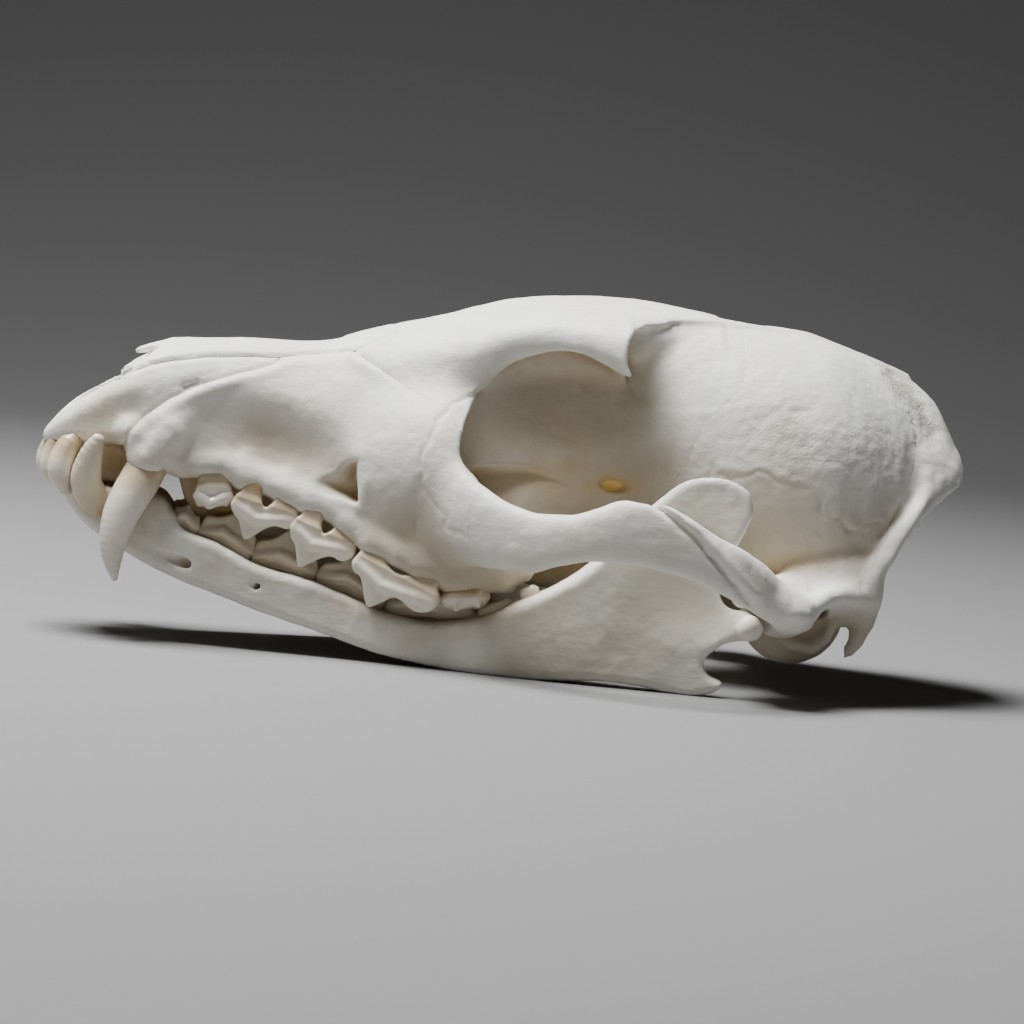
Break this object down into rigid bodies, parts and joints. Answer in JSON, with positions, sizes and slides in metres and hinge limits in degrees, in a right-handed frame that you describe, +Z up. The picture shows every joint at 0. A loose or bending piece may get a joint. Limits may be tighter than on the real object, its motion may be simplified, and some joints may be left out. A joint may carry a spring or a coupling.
{
  "type": "fox skull",
  "caption": "Life-size dry fox skull with its lower jaw nearly closed, parted along the sutures and lying on the lower borders of the jaw.",
  "frame": {"origin": "on the floor under the middle of the skull's box, on its left-right mirror plane", "axes": "+X towards the back of the skull, so the snout points along -X; +Y towards the skull's right side; +Z up from the surface that the lower jaw lies on"},
  "size_m": [0.1482, 0.0788, 0.0599],
  "materials": {
    "premaxilla": "matt dry bleached bone with glossy teeth",
    "nasal_bones": "matt dry bleached bone",
    "maxilla": "matt dry bleached bone with glossy teeth",
    "frontal_bone": "matt dry bleached bone",
    "palate_wings": "matt dry bleached bone",
    "braincase": "matt dry bleached bone, finely pitted on the side",
    "occipital_bone": "matt dry bleached bone",
    "cheekbone_left": "matt dry bleached bone",
    "cheekbone_right": "matt dry bleached bone",
    "ear_bulla_left": "smooth dry bone",
    "ear_bulla_right": "smooth dry bone",
    "mandible_left": "matt dry bleached bone with glossy teeth",
    "mandible_right": "matt dry bleached bone with glossy teeth"
  },
  "bodies": {
    "root": {"premaxilla": "premaxilla", "nasal_bones": "nasal_bones", "maxilla": "maxilla", "frontal_bone": "frontal_bone", "palate_wings": "palate_wings", "braincase": "braincase", "occipital_bone": "occipital_bone", "cheekbone_left": "cheekbone_left", "cheekbone_right": "cheekbone_right", "ear_bulla_left": "ear_bulla_left", "ear_bulla_right": "ear_bulla_right", "mandible_left": "mandible_left", "mandible_right": "mandible_right"}
  },
  "joints": []
}
